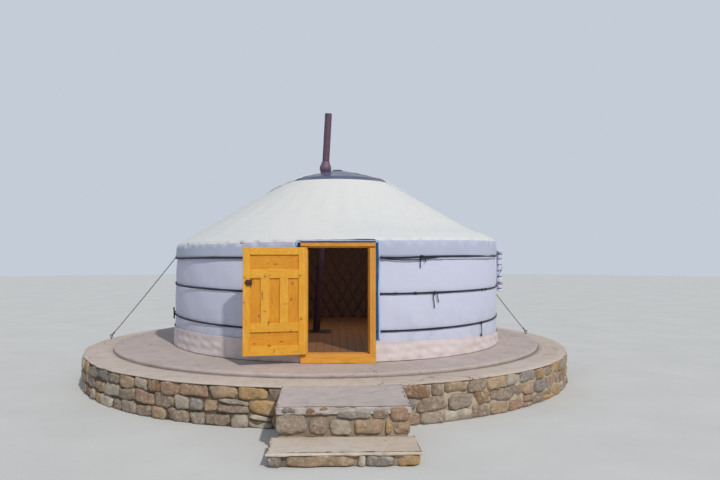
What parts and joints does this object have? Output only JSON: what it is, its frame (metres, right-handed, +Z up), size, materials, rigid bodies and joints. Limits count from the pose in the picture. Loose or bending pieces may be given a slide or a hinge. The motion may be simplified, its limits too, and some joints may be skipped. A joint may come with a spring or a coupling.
{
  "type": "yurt",
  "caption": "Round felt tent house with canvas covers over a slatted wall and pole roof, open panelled door, stove pipe, on a stone-edged round plinth with steps.",
  "frame": {"origin": "on the ground under the tent's centre, on the underside of the plinth", "axes": "+Z up, the door looks to -Y and +X is to the right as one faces the door"},
  "size_m": [8.1758, 9.5259, 4.599],
  "materials": {
    "rubble_stone": "rough rubble stone",
    "fill": "rubble and earth fill",
    "concrete": "floated grey concrete",
    "frame_wood": "oiled slats",
    "crown_wood": "orange painted wood",
    "floor_wood": "planed boards",
    "door_pine": "varnished yellow pine",
    "iron": "dark iron",
    "rusty_pipe": "rusty sheet steel",
    "lock": "red-brown paint",
    "glazing": "smoked glazing",
    "canvas": "white cotton canvas over felt",
    "skirt": "dusty canvas",
    "roof_canvas": "white cotton canvas over felt",
    "blue_binding": "blue cotton binding",
    "strap": "dark hair strap",
    "rope": "twisted rope"
  },
  "bodies": {
    "tent": {"plinth_fill": "fill", "plinth_edge_wall": "rubble_stone", "plinth_outer_ring": "concrete", "floor_slab": "concrete", "landing_stones": "rubble_stone", "landing_slab": "concrete", "lower_step_stones": "rubble_stone", "lower_step_slab": "concrete", "floor_bearers": "floor_wood", "board_floor": "floor_wood", "door_sill": "door_pine", "door_frame": "door_pine", "hinge_plates": "iron", "khana_1": "frame_wood", "khana_2": "frame_wood", "khana_3": "frame_wood", "khana_4": "frame_wood", "khana_5": "frame_wood", "roof_poles_left": "crown_wood", "roof_poles_right": "crown_wood", "crown_rim": "crown_wood", "crown_spokes": "crown_wood", "crown_glazing": "glazing", "crown_flap": "roof_canvas", "wall_cover_1": "canvas", "wall_cover_2": "canvas", "wall_cover_3": "canvas", "wall_cover_4": "canvas", "wall_cover_5": "canvas", "base_skirt": "skirt", "eave_band": "canvas", "door_binding": "blue_binding", "wall_straps": "strap", "strap_tails": "strap", "roof_cover_front": "roof_canvas", "roof_cover_right": "roof_canvas", "roof_cover_back": "roof_canvas", "roof_cover_left": "roof_canvas", "guy_ropes": "rope", "guy_anchors": "iron", "rolled_cover": "canvas", "chimney_pipe": "rusty_pipe", "chimney_collar": "rusty_pipe", "hearth_plate": "iron"},
    "door_leaf": {"door_leaf_frame": "door_pine", "door_leaf_panels": "door_pine", "door_lock": "lock", "door_handle": "iron", "door_hinges": "iron"}
  },
  "joints": [
    {"name": "door_swing", "type": "hinge", "parent": "tent", "child": "door_leaf", "pos_m": [-0.43, -2.843, 0.699], "axis": [0, 0, 1], "range_deg": [0, 169]}
  ]
}
